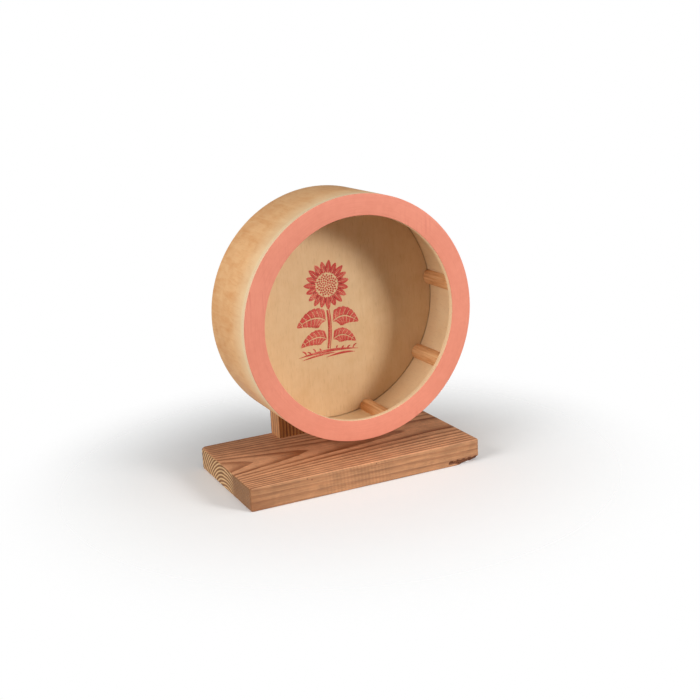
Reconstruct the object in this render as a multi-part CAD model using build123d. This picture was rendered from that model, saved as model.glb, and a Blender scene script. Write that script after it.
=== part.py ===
"""Rodent exercise wheel: a plywood drum that turns on a bolt, carried by a post on a softwood board.

Millimetres, +Z up. The origin is the centre of the board's underside. The board's length runs along X,
and the open side of the drum faces -Y. Depths along the axle are counted from the front of the drum.
"""
import math
import os

from build123d import *

# Board
board_length = 206.0
board_width = 116.5
board_thickness = 19.0
board_corner_radius = 3.0
board_edge_radius = 1.0

# Post, flush with the back edge of the board and centred on the axle
post_width = 92.0
post_thickness = 19.0
post_height = 150.0
post_top_radius = 15.0
post_edge_chamfer = 0.8

# Where the drum hangs
axle_offset = 8.5
drum_board_gap = 13.3
drum_post_gap = 5.0

# Drum
ring_outer_diameter = 200.0
ring_face_width = 17.0
ring_thickness = 5.0
ring_edge_radius = 0.5
band_thickness = 3.0
running_width = 55.5
disc_thickness = 5.0
rear_rim_depth = 8.5

# Scarf seam where the two ends of the bent band meet
seam_angle = 262.0
seam_lap = 12.0
seam_gap = 0.2

# Rungs: round rod planed flat on one side
rung_count = 9
rung_first_angle = 7.7
rung_rod_diameter = 13.0
rung_height = 6.0

# Hub block behind the disc
hub_diameter = 56.0
hub_post_gap = 2.0
hub_edge_chamfer = 1.0

# Carriage bolt and what is on it
bolt_diameter = 6.0
bolt_head_diameter = 14.0
bolt_head_height = 3.2
bolt_neck_length = 3.8
bolt_end_reach = 1.4
bolt_end_chamfer = 0.6
sleeve_wall = 1.5
washer_diameter = 12.0
washer_thickness = 1.6
nut_across_flats = 10.0
nut_height = 6.0
nut_collar_height = 1.6
nut_collar_step = 0.4

# Ball bearings
bearing_outer_diameter = 19.0
bearing_width = 6.0
ball_diameter = 3.5
ball_count = 7
groove_depth = 0.3
shield_thickness = 0.3
shield_recess = 0.35
cage_thickness = 0.8
cage_side_gap = 0.25
bearing_web_gap = 1.5

# Wood screws
hub_screw_count = 4
hub_screw_circle = 40.0
hub_screw_diameter = 3.0
hub_screw_head_diameter = 5.8
hub_screw_bite = 3.0
post_screw_spacing = 56.0
post_screw_diameter = 4.5
post_screw_head_diameter = 8.6
post_screw_bite = 31.0
post_screw_sink = 0.6

# Clearances
glue_gap = 0.1
fit_gap = 0.05
ball_gap = 0.1
screw_gap = 0.05

# Worked out from the sizes above
ring_radius = ring_outer_diameter / 2
mouth_radius = ring_radius - ring_face_width
band_inner_radius = ring_radius - band_thickness
inner_fit_radius = band_inner_radius - glue_gap
disc_front = ring_thickness + running_width
disc_back = disc_front + disc_thickness
drum_depth = disc_back + rear_rim_depth
post_front = drum_depth + drum_post_gap
post_back = post_front + post_thickness
hub_back = post_front - hub_post_gap
hub_thickness = hub_back - disc_back
axle_x = axle_offset
axle_z = board_thickness + drum_board_gap + ring_radius
post_back_y = board_width / 2
post_front_y = post_back_y - post_thickness
drum_front_y = post_front_y - post_front
bolt_radius = bolt_diameter / 2
bearing_bore_radius = bolt_radius + fit_gap
bearing_radius = bearing_outer_diameter / 2
ball_radius = ball_diameter / 2
pitch_radius = (bearing_bore_radius + bearing_radius) / 2
groove_radius = ball_radius + ball_gap
inner_shoulder_radius = pitch_radius - groove_radius + groove_depth
outer_shoulder_radius = pitch_radius + groove_radius - groove_depth
seat_radius = bearing_radius + fit_gap
front_bearing_depth = post_front + bearing_width / 2
rear_bearing_depth = post_back - bearing_width / 2
washer_back = post_back + washer_thickness
nut_back = washer_back + nut_height
bolt_end = nut_back + bolt_end_reach
through_reach = 1.0


def at_axle(depth):
    """Frame on the axle: local Z runs back along it, and depth is counted from the drum's front."""
    origin = (axle_x, drum_front_y + depth, axle_z)
    return Plane(origin, x_dir=(1, 0, 0), z_dir=(0, 1, 0)).location


def rod(radius, start, end):
    """A cylinder about local Z, between two depths."""
    return Pos(0, 0, start) * Cylinder(radius, end - start, align=(Align.CENTER, Align.CENTER, Align.MIN))


def tube(outer_radius, inner_radius, start, end):
    """A tube about local Z, between two depths."""
    return rod(outer_radius, start, end) - rod(inner_radius, start - through_reach, end + through_reach)


def wood_screw(shank_diameter, head_diameter, length):
    """Countersunk screw along local Z: the head's flat face is at zero, the point at the length."""
    shank_radius = shank_diameter / 2
    head_radius = head_diameter / 2
    head_height = head_radius - shank_radius
    point_length = shank_diameter
    outline = Polyline(
        (0, 0),
        (head_radius, 0),
        (shank_radius, head_height),
        (shank_radius, length - point_length),
        (0, length),
        close=True,
    )
    body = revolve(Plane.XZ * make_face(outline), Axis.Z)
    slot_length = head_diameter * 0.55
    slot_width = head_diameter * 0.14
    slot_depth = head_height * 0.8
    for turn in (0, 90):
        slot = Box(slot_length, slot_width, slot_depth, align=(Align.CENTER, Align.CENTER, Align.MIN))
        body -= Rot(0, 0, turn) * slot
    return body


def screw_hole(shank_diameter, head_diameter, length):
    """The hole that a countersunk screw leaves, with room all round, open at the head's side."""
    shank_radius = shank_diameter / 2 + screw_gap
    head_radius = head_diameter / 2 + screw_gap
    head_height = head_radius - shank_radius
    outline = Polyline(
        (0, -through_reach),
        (head_radius, -through_reach),
        (head_radius, 0),
        (shank_radius, head_height),
        (shank_radius, length + screw_gap),
        (0, length + screw_gap),
        close=True,
    )
    return revolve(Plane.XZ * make_face(outline), Axis.Z)


def post_screw_places():
    """Frames of the two screws that come up through the board into the end of the post."""
    middle_y = post_back_y - post_thickness / 2
    return [Pos(axle_x + side * post_screw_spacing / 2, middle_y, post_screw_sink) for side in (-1, 1)]


def post_screw_length():
    return board_thickness - post_screw_sink + post_screw_bite


def hub_screw_places():
    """Frames of the hub screws: each head lies in the block's back face, and its point is in the disc."""
    step = 360 / hub_screw_count
    turns = [step / 2 + step * index for index in range(hub_screw_count)]
    back = at_axle(hub_back)
    return [back * Rot(0, 0, turn) * Pos(hub_screw_circle / 2, 0, 0) * Rot(180, 0, 0) for turn in turns]


def hub_screw_length():
    return hub_thickness + hub_screw_bite


def base_board():
    board = Box(board_length, board_width, board_thickness, align=(Align.CENTER, Align.CENTER, Align.MIN))
    board = fillet(board.edges().filter_by(Axis.Z), board_corner_radius)
    rims = board.faces().sort_by(Axis.Z)
    board = fillet(rims[0].edges() + rims[-1].edges(), board_edge_radius)
    for place in post_screw_places():
        board -= place * screw_hole(post_screw_diameter, post_screw_head_diameter, post_screw_length())
    return board


def post():
    """The upright, with a seat for a bearing in each face and a narrower bore between the two."""
    middle_y = post_back_y - post_thickness / 2
    upright = Pos(axle_x, middle_y, board_thickness) * Box(
        post_width, post_thickness, post_height, align=(Align.CENTER, Align.CENTER, Align.MIN)
    )
    top_corners = upright.edges().filter_by(Axis.Y).group_by(Axis.Z)[-1]
    upright = fillet(top_corners, min(post_top_radius, post_width / 2 - through_reach))
    faces = upright.faces().sort_by(Axis.Y)
    rims = (faces[0].edges() + faces[-1].edges()).filter_by(lambda edge: edge.center().Z > board_thickness)
    upright = chamfer(rims, post_edge_chamfer)
    web_radius = seat_radius - bearing_web_gap
    upright -= at_axle(0) * rod(web_radius, post_front - through_reach, post_back + through_reach)
    upright -= at_axle(0) * rod(seat_radius, post_front - through_reach, post_front + bearing_width)
    upright -= at_axle(0) * rod(seat_radius, post_back - bearing_width, post_back + through_reach)
    for place in post_screw_places():
        upright -= place * screw_hole(post_screw_diameter, post_screw_head_diameter, post_screw_length())
    return upright


def post_screws():
    screw = wood_screw(post_screw_diameter, post_screw_head_diameter, post_screw_length())
    return Compound([place * screw for place in post_screw_places()])


def front_ring():
    ring = tube(ring_radius, mouth_radius, 0, ring_thickness)
    front_edges = ring.faces().sort_by(Axis.Z)[0].edges()
    return at_axle(0) * fillet(front_edges, ring_edge_radius)


def running_band():
    """The bent band, cut through on a slant where its thinned ends lap over each other."""
    band = tube(ring_radius, band_inner_radius, ring_thickness, drum_depth)
    slant = math.degrees(math.atan2(band_thickness, seam_lap))
    cut_length = 1.6 * math.hypot(seam_lap, band_thickness)
    cut_depth = drum_depth + 2 * through_reach
    cut = Pos(0, 0, drum_depth / 2) * Box(seam_gap, cut_length, cut_depth)
    cut = Pos(ring_radius - band_thickness / 2, 0, 0) * Rot(0, 0, -slant) * cut
    return at_axle(0) * (band - Rot(0, 0, -seam_angle) * cut)


def back_disc():
    disc = at_axle(0) * rod(inner_fit_radius, disc_front, disc_back)
    for place in hub_screw_places():
        disc -= place * screw_hole(hub_screw_diameter, hub_screw_head_diameter, hub_screw_length())
    return disc


def rung(index):
    """One strip: a round rod, its flat side fitted to the inside of the band."""
    start = ring_thickness + glue_gap
    end = disc_front - glue_gap
    centre = inner_fit_radius - rung_height + rung_rod_diameter / 2
    strip = Pos(centre, 0, 0) * rod(rung_rod_diameter / 2, start, end)
    strip = strip & rod(inner_fit_radius, start, end)
    angle = rung_first_angle + index * 360 / rung_count
    return at_axle(0) * Rot(0, 0, -angle) * strip


def hub_block():
    """The block with a pocket for the bolt's head, a square hole for its neck and a bore for its shank."""
    block = rod(hub_diameter / 2, disc_back, hub_back)
    back_edge = block.faces().sort_by(Axis.Z)[-1].edges()
    block = chamfer(back_edge, hub_edge_chamfer)
    pocket_back = disc_back + bolt_head_height + glue_gap
    block -= rod(bolt_head_diameter / 2 + fit_gap, disc_back - through_reach, pocket_back)
    neck_side = bolt_diameter + 2 * fit_gap
    neck_hole = Box(neck_side, neck_side, bolt_neck_length, align=(Align.CENTER, Align.CENTER, Align.MIN))
    block -= Pos(0, 0, pocket_back) * neck_hole
    block -= rod(bolt_radius + fit_gap, pocket_back, hub_back + through_reach)
    block = at_axle(0) * block
    for place in hub_screw_places():
        block -= place * screw_hole(hub_screw_diameter, hub_screw_head_diameter, hub_screw_length())
    return block


def hub_screws():
    screw = wood_screw(hub_screw_diameter, hub_screw_head_diameter, hub_screw_length())
    return Compound([place * screw for place in hub_screw_places()])


def axle_bolt():
    """Carriage bolt: domed head, square neck and a round shank with an eased end."""
    head_back = disc_back + glue_gap + bolt_head_height
    head_radius = bolt_head_diameter / 2
    dome_radius = (head_radius ** 2 + bolt_head_height ** 2) / (2 * bolt_head_height)
    dome = Pos(0, 0, head_back - bolt_head_height + dome_radius) * Sphere(dome_radius)
    head = dome & rod(head_radius, head_back - bolt_head_height, head_back)
    neck_end = min(head_back + bolt_neck_length - glue_gap, hub_back)
    neck = Box(bolt_diameter, bolt_diameter, neck_end - head_back, align=(Align.CENTER, Align.CENTER, Align.MIN))
    shank = rod(bolt_radius, head_back, bolt_end)
    shank = chamfer(shank.faces().sort_by(Axis.Z)[-1].edges(), bolt_end_chamfer)
    return at_axle(0) * (head + Pos(0, 0, head_back) * neck + shank)


def sleeve(start, end):
    """A spacer tube on the bolt, as wide as the inner race's shoulder allows."""
    outer_radius = min(bearing_bore_radius + sleeve_wall, inner_shoulder_radius)
    return at_axle(0) * tube(outer_radius, bearing_bore_radius, start, end)


def axle_washer():
    return at_axle(0) * tube(washer_diameter / 2, bearing_bore_radius, post_back, washer_back)


def lock_nut():
    """Hexagon nut with a round collar at its outer end, and chamfered corners."""
    hexagon_height = nut_height - nut_collar_height
    corner_radius = nut_across_flats / math.sqrt(3)
    hexagon = extrude(RegularPolygon(corner_radius, 6), hexagon_height)
    corner_cone = Cone(
        corner_radius + hexagon_height, corner_radius, hexagon_height, align=(Align.CENTER, Align.CENTER, Align.MIN)
    )
    collar = rod(nut_across_flats / 2 - nut_collar_step, hexagon_height, nut_height)
    nut = (hexagon & corner_cone) + fillet(collar.faces().sort_by(Axis.Z)[-1].edges(), nut_collar_height / 2)
    nut -= rod(bearing_bore_radius, -through_reach, nut_height + through_reach)
    return at_axle(washer_back) * nut


def outer_race(depth):
    race = tube(bearing_radius, outer_shoulder_radius, -bearing_width / 2, bearing_width / 2)
    return at_axle(depth) * (race - Torus(pitch_radius, groove_radius))


def inner_race(depth):
    race = tube(inner_shoulder_radius, bearing_bore_radius, -bearing_width / 2, bearing_width / 2)
    return at_axle(depth) * (race - Torus(pitch_radius, groove_radius))


def shields(depth):
    """Thin cover rings on both sides, held in the outer race and clear of the inner one."""
    outside = bearing_width / 2 - shield_recess
    inside = outside - shield_thickness
    outer_radius = outer_shoulder_radius - fit_gap
    inner_radius = inner_shoulder_radius + ball_gap
    near = tube(outer_radius, inner_radius, -outside, -inside)
    far = tube(outer_radius, inner_radius, inside, outside)
    return Compound([at_axle(depth) * near, at_axle(depth) * far])


def ball_turns():
    return [index * 360 / ball_count for index in range(ball_count)]


def balls(depth):
    place = at_axle(depth)
    ball = Pos(pitch_radius, 0, 0) * Sphere(ball_radius)
    return Compound([place * Rot(0, 0, turn) * ball for turn in ball_turns()])


def cage(depth):
    """Crown cage: a thin ring with one pocket for each ball, open at its rear side."""
    front = shield_recess + shield_thickness + cage_side_gap - bearing_width / 2
    crown = tube(pitch_radius + cage_thickness / 2, pitch_radius - cage_thickness / 2, front, ball_radius / 2)
    pocket = Pos(pitch_radius, 0, 0) * Rot(0, 90, 0) * Cylinder(groove_radius, 4 * cage_thickness)
    for turn in ball_turns():
        crown -= Rot(0, 0, turn) * pocket
    return at_axle(depth) * crown


nodes = {
    "base_board": base_board(),
    "post": post(),
    "post_screws": post_screws(),
    "front_ring": front_ring(),
    "running_band": running_band(),
    "back_disc": back_disc(),
    "hub_block": hub_block(),
    "hub_screws": hub_screws(),
    "axle_bolt": axle_bolt(),
    "hub_sleeve": sleeve(hub_back, post_front),
    "bearing_spacer": sleeve(post_front + bearing_width, post_back - bearing_width),
    "axle_washer": axle_washer(),
    "lock_nut": lock_nut(),
}
for index in range(rung_count):
    nodes[f"rung_{index + 1}"] = rung(index)
for side, depth in (("front", front_bearing_depth), ("rear", rear_bearing_depth)):
    nodes[f"{side}_bearing_outer_race"] = outer_race(depth)
    nodes[f"{side}_bearing_inner_race"] = inner_race(depth)
    nodes[f"{side}_bearing_shields"] = shields(depth)
    nodes[f"{side}_bearing_cage"] = cage(depth)
    nodes[f"{side}_bearing_balls"] = balls(depth)

os.makedirs("parts", exist_ok=True)
for name, shape in nodes.items():
    export_step(shape, f"parts/{name}.step")

print("axle", axle_x, drum_front_y, axle_z)
print("hub thickness", hub_thickness, "bolt length", bolt_end - disc_back - glue_gap - bolt_head_height)
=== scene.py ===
# %% [markdown]
# A wooden exercise wheel for a small rodent, dressed for the camera.
#
# The construction comes ready made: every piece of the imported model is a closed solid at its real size.
# This lesson gives each piece the surface that the real wheel has: coral paint on the front ring, bare
# plywood edges, varnished bent plywood, and a softwood board with strong growth rings.

# %% Load the construction
import math

import bmesh
import bpy
import numpy as np
from mathutils import Matrix, Vector
from mathutils.geometry import tessellate_polygon


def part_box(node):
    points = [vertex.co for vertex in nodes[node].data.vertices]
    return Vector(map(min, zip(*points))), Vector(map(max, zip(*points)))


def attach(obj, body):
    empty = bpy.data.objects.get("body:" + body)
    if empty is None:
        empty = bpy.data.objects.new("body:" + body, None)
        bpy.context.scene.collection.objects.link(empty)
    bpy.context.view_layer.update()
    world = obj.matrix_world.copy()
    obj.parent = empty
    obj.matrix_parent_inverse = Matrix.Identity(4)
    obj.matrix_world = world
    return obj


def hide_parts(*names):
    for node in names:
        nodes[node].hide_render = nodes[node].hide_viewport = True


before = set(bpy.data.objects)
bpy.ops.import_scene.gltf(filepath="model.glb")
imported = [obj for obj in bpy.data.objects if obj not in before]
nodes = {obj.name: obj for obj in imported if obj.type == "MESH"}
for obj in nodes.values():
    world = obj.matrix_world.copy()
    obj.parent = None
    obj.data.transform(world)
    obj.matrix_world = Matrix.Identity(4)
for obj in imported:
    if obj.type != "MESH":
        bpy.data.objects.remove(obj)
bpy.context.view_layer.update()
print("pieces in the frame:", len(nodes))

# %% [markdown]
# Places and overall sizes are measured from the loaded pieces. What a box round a piece can't tell, such
# as the width of the ring's face or the thickness of the band, is a named size. The drum's pieces are
# round about the axle, which runs along Y. Depths are distances along it.

# %% Sizes read from the frame
mm = 0.001

ring_low, ring_high = (Vector(corner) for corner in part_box("front_ring"))
band_low, band_high = (Vector(corner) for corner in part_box("running_band"))
disc_low, disc_high = (Vector(corner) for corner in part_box("back_disc"))
board_low, board_high = (Vector(corner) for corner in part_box("base_board"))
rung_low, rung_high = (Vector(corner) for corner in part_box("rung_1"))

axle_x = (ring_low.x + ring_high.x) / 2
axle_z = (ring_low.z + ring_high.z) / 2
drum_radius = (ring_high.x - ring_low.x) / 2
disc_radius = (disc_high.x - disc_low.x) / 2
ring_face_width = 17 * mm
mouth_radius = drum_radius - ring_face_width
band_thickness = 3 * mm
print("axle at", round(axle_x, 4), round(axle_z, 4), "drum radius", round(drum_radius, 4))

# %% [markdown]
# The camera stands to the left of the wheel and a little above it, and is rolled by three degrees.
# A camera matrix has three columns: what is right, what is up and what is backwards for the viewer. They
# are worked out from a heading, a tilt and a roll, which are easier to adjust than turns about X, Y and Z.

# %% Camera
camera_place = Vector((-0.38581, -0.84874, 0.34676))
camera_heading = math.radians(25.29)
camera_tilt = math.radians(14.85)
camera_roll = math.radians(-2.98)
frame_pixels = 700
focal_pixels = 1166.1
sensor_width = 36.0

forward = Vector((
    math.sin(camera_heading) * math.cos(camera_tilt),
    math.cos(camera_heading) * math.cos(camera_tilt),
    -math.sin(camera_tilt),
))
level_right = Vector((math.cos(camera_heading), -math.sin(camera_heading), 0))
level_up = level_right.cross(forward)
right = level_right * math.cos(camera_roll) + level_up * math.sin(camera_roll)
up = level_up * math.cos(camera_roll) - level_right * math.sin(camera_roll)

camera_data = bpy.data.cameras.new("camera")
camera_data.sensor_width = sensor_width
camera_data.lens = focal_pixels / frame_pixels * sensor_width
camera_data.clip_start = 0.01
camera = bpy.data.objects.new("camera", camera_data)
turn = Matrix((right, up, -forward)).transposed().to_4x4()
camera.matrix_world = Matrix.Translation(camera_place) @ turn
bpy.context.collection.objects.link(camera)
bpy.context.scene.camera = camera
print("lens", round(camera_data.lens, 2), "mm")

# %% [markdown]
# A shape here is a grid of points, worked out as one numpy array, and each cell of the grid becomes a
# four-sided face. A grid can close on itself along its rows, along its columns or along both, as a
# ring does. Flat lids close what the grid leaves open. Blender then walks over the closed surface and
# turns every face outwards, so no shape is left inside out.


# %% Grid to mesh
def grid_faces(row_count, column_count, close_rows, close_columns):
    """Corner numbers of each cell: (i, j), (i+1, j), (i+1, j+1), (i, j+1), wrapped where it closes."""
    rows = np.arange(row_count if close_rows else row_count - 1)
    columns = np.arange(column_count if close_columns else column_count - 1)
    row, column = (part.ravel() for part in np.meshgrid(rows, columns, indexing="ij"))
    next_row = (row + 1) % row_count
    next_column = (column + 1) % column_count
    faces = np.stack([
        row * column_count + column,
        next_row * column_count + column,
        next_row * column_count + next_column,
        row * column_count + next_column,
    ], axis=-1)
    return faces, row, column


def grid_grain(row, column, along, across):
    """Where each cell's corners lie on the flattened surface: (along_i, across_j), both in metres."""
    corners = [(row, column), (row + 1, column), (row + 1, column + 1), (row, column + 1)]
    return np.stack([np.stack([along[r], across[c]], axis=-1) for r, c in corners], axis=1)


def add_piece(name, points, faces, grain=None, sharp_angle=32, closed=True):
    """Makes a mesh object from points and groups of faces. grain gives each face corner its UV."""
    mesh = bpy.data.meshes.new(name)
    mesh.from_pydata(points.tolist(), [], [face for group in faces for face in group.tolist()])
    if grain is not None:
        layer = mesh.uv_layers.new(name="grain")
        flat = np.concatenate([group.reshape(-1, 2) for group in grain])
        layer.data.foreach_set("uv", flat.ravel().astype(np.float32))
    if closed:
        solid = bmesh.new()
        solid.from_mesh(mesh)
        bmesh.ops.recalc_face_normals(solid, faces=solid.faces)
        print(name, "holds", round(solid.calc_volume() * 1e6, 2), "cubic centimetres")
        solid.to_mesh(mesh)
        solid.free()
    mesh.shade_smooth()
    mesh.set_sharp_from_angle(angle=math.radians(sharp_angle))
    piece = bpy.data.objects.new(name, mesh)
    bpy.context.collection.objects.link(piece)
    return piece


def end_lids(row_count, column_count):
    """The first and the last row of a grid, each as one flat face."""
    first = np.arange(column_count)
    return np.stack([first, (row_count - 1) * column_count + first])


# %% [markdown]
# Three of the drum's pieces are a profile carried round the axle: the ring, the bent band and the disc.
# The profile is a list of (radius, depth) points. A closed profile gives a ring, and one whose ends lie
# on the axle would give a solid disc.


# %% Round pieces
def carried_round(profile, turns, lead):
    """Point (i, j) = axle + radius_j * (cos, sin) of turn_i + lead_j in X and Z, with Y = depth_j."""
    angle = turns[:, None] + lead[None, :]
    radius = np.broadcast_to(profile[:, 0], angle.shape)
    depth = np.broadcast_to(profile[:, 1], angle.shape)
    return np.stack([axle_x + radius * np.cos(angle), depth, axle_z + radius * np.sin(angle)], axis=-1)


def swept_ring(name, profile, turns, lead=None):
    """A closed profile carried round the axle. With lead it stops short, and lids close both ends."""
    closed = lead is None
    points = carried_round(profile, turns, np.zeros(len(profile)) if closed else lead)
    row_count, column_count = points.shape[:2]
    faces, row, column = grid_faces(row_count, column_count, closed, True)
    along = np.arange(row_count + 1) * (turns[1] - turns[0]) * drum_radius
    steps = np.linalg.norm(np.roll(profile, -1, axis=0) - profile, axis=1)
    across = np.concatenate([[0], np.cumsum(steps)])
    groups = [faces]
    grain = [grid_grain(row, column, along, across)]
    if not closed:
        groups.append(end_lids(row_count, column_count))
        grain.append(np.zeros((2, column_count, 2)))
    return add_piece(name, points.reshape(-1, 3), groups, grain)


def rounded_profile(low_radius, high_radius, front, back, easings, points_per_corner=6):
    """A rectangle in (radius, depth) with a quarter circle at each corner.

    Corners go inner front, outer front, outer back, inner back. easings are their radii in that order.
    """
    corners = [(low_radius, front, 1, 1), (high_radius, front, -1, 1), (high_radius, back, -1, -1),
               (low_radius, back, 1, -1)]
    starts = [180, 270, 0, 90]
    outline = []
    for (radius, depth, side, way), easing, start in zip(corners, easings, starts):
        centre = np.array([radius + side * easing, depth + way * easing])
        bend = np.radians(np.linspace(start, start + 90, points_per_corner))
        outline.append(centre + easing * np.stack([np.cos(bend), np.sin(bend)], axis=-1))
    return np.concatenate(outline)


def place(piece, body, stands_for, material):
    """Says what the piece moves with, which node it stands for and what it is made of."""
    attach(piece, body)
    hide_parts(stands_for)
    piece.data.materials.clear()
    piece.data.materials.append(material)


def dress_node(name, material):
    """Gives a piece of the construction its material, in place of the one that it came with."""
    mesh = nodes[name].data
    mesh.materials.clear()
    mesh.materials.append(material)


# %% [markdown]
# Materials are wired with a small helper. Each call adds one node and gives back its output, so a
# formula can be written almost as it is read. Plain numbers are typed into a socket, outputs are linked.


# %% Wiring helper
class Wiring:
    """Adds nodes to one node tree and joins their sockets."""

    def __init__(self, tree):
        self.tree = tree

    def node(self, kind, **settings):
        made = self.tree.nodes.new(kind)
        for key, value in settings.items():
            setattr(made, key, value)
        return made

    def put(self, value, socket):
        if isinstance(value, bpy.types.NodeSocket):
            self.tree.links.new(value, socket)
        else:
            socket.default_value = value

    def math(self, operation, a, b=0.0, c=0.0, clamp=False):
        made = self.node("ShaderNodeMath", operation=operation, use_clamp=clamp)
        for value, socket in zip((a, b, c), made.inputs):
            self.put(value, socket)
        return made.outputs[0]

    def add(self, a, b):
        return self.math("ADD", a, b)

    def less(self, a, b):
        return self.math("SUBTRACT", a, b)

    def times(self, a, b):
        return self.math("MULTIPLY", a, b)

    def length(self, a, b):
        """Square root of a * a + b * b."""
        return self.math("SQRT", self.add(self.times(a, a), self.times(b, b)))

    def step(self, value, low, high, to_low=0.0, to_high=1.0):
        """Smooth step from to_low, where value is low, to to_high, where it is high."""
        made = self.node("ShaderNodeMapRange", interpolation_type="SMOOTHSTEP")
        for item, name in ((value, "Value"), (low, "From Min"), (high, "From Max"), (to_low, "To Min"),
                           (to_high, "To Max")):
            self.put(item, made.inputs[name])
        return made.outputs["Result"]

    def mix(self, factor, a, b, blend="MIX"):
        made = self.node("ShaderNodeMix", data_type="RGBA", blend_type=blend)
        self.put(factor, made.inputs["Factor"])
        for value, socket in ((a, made.inputs[6]), (b, made.inputs[7])):
            self.put((*value, 1.0) if isinstance(value, tuple) and len(value) == 3 else value, socket)
        return made.outputs[2]

    def noise(self, vector, scale, detail=3.0, roughness=0.5, distortion=0.0):
        made = self.node("ShaderNodeTexNoise")
        self.put(vector, made.inputs["Vector"])
        for name, value in (("Scale", scale), ("Detail", detail), ("Roughness", roughness),
                            ("Distortion", distortion)):
            self.put(value, made.inputs[name])
        return made.outputs["Fac"]

    def mapped(self, vector, move=(0, 0, 0), turn=(0, 0, 0), stretch=(1, 1, 1)):
        made = self.node("ShaderNodeMapping")
        self.put(vector, made.inputs["Vector"])
        made.inputs["Location"].default_value = move
        made.inputs["Rotation"].default_value = turn
        made.inputs["Scale"].default_value = stretch
        return made.outputs[0]

    def split(self, vector):
        made = self.node("ShaderNodeSeparateXYZ")
        self.put(vector, made.inputs[0])
        return made.outputs

    def joined(self, x, y, z):
        made = self.node("ShaderNodeCombineXYZ")
        for value, socket in zip((x, y, z), made.inputs):
            self.put(value, socket)
        return made.outputs[0]

    def grey(self, value):
        """The same value as red, green and blue, to lighten or darken a colour with."""
        made = self.node("ShaderNodeCombineColor")
        for socket in made.inputs:
            self.put(value, socket)
        return made.outputs[0]

    def group(self, shared, **values):
        """Places a shared effect. Its inputs are given by name, with _ for a space."""
        made = self.node("ShaderNodeGroup", node_tree=shared)
        for name, value in values.items():
            self.put(value, made.inputs[name.replace("_", " ").capitalize()])
        return made.outputs


# %% [markdown]
# Every material and every shared effect starts the same way, so a function makes each of them. Colours
# are written as they show on screen, from 0 to 255, and one function turns them into light values.


# %% Start of a material and of a shared effect
def linear(red, green, blue):
    """A colour as it shows on screen, 0 to 255, turned into the light values that a shader works with."""
    shown = np.array([red, green, blue]) / 255
    light = np.where(shown <= 0.04045, shown / 12.92, ((shown + 0.055) / 1.055) ** 2.4)
    return tuple(float(value) for value in light)


def new_group(name, inputs, outputs):
    """A shader node group with named sockets. inputs maps a name to its kind and start value."""
    tree = bpy.data.node_groups.new(name, "ShaderNodeTree")
    for label, (kind, value) in inputs.items():
        socket = tree.interface.new_socket(label, in_out="INPUT", socket_type=kind)
        if value is not None:
            socket.default_value = value
    for label, kind in outputs.items():
        tree.interface.new_socket(label, in_out="OUTPUT", socket_type=kind)
    wiring = Wiring(tree)
    print("shared effect:", name, "puts out", ", ".join(outputs))
    return tree, wiring, wiring.node("NodeGroupInput").outputs, wiring.node("NodeGroupOutput").inputs


def new_material(name, roughness=0.5, specular=0.5):
    """A material with one Principled BSDF. What is the same all over is set on the shader itself."""
    material = bpy.data.materials.new(name)
    material.use_nodes = True
    wiring = Wiring(material.node_tree)
    shader = material.node_tree.nodes["Principled BSDF"]
    shader.inputs["Roughness"].default_value = roughness
    shader.inputs["Specular IOR Level"].default_value = specular
    print("material:", name)
    return material, wiring, shader


def bump(wiring, shader, height, distance):
    """Turns a height into a slope of the surface. distance is how far white stands above black."""
    made = wiring.node("ShaderNodeBump")
    made.inputs["Distance"].default_value = distance
    wiring.put(height, made.inputs["Height"])
    wiring.put(made.outputs["Normal"], shader.inputs["Normal"])


def surface_facts(wiring):
    """Where a point is on the piece, in metres, which way the surface faces there, and its UV."""
    made = wiring.node("ShaderNodeTexCoord")
    return made.outputs["Object"], made.outputs["Normal"], made.outputs["UV"]


FLOAT = "NodeSocketFloat"
VECTOR = "NodeSocketVector"

# %% [markdown]
# Growth rings. A board is a slice of a trunk, so its grain is best cut from a solid: rings round the
# pith, which lies some way under the board and falls away along it. Where the flat top cuts these cones
# it shows the pointed arches of a flat-sawn board, the end shows curved arches, and the edges show
# straight lines. One solid pattern gives all three, and they meet at the corners as they do in wood.


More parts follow.
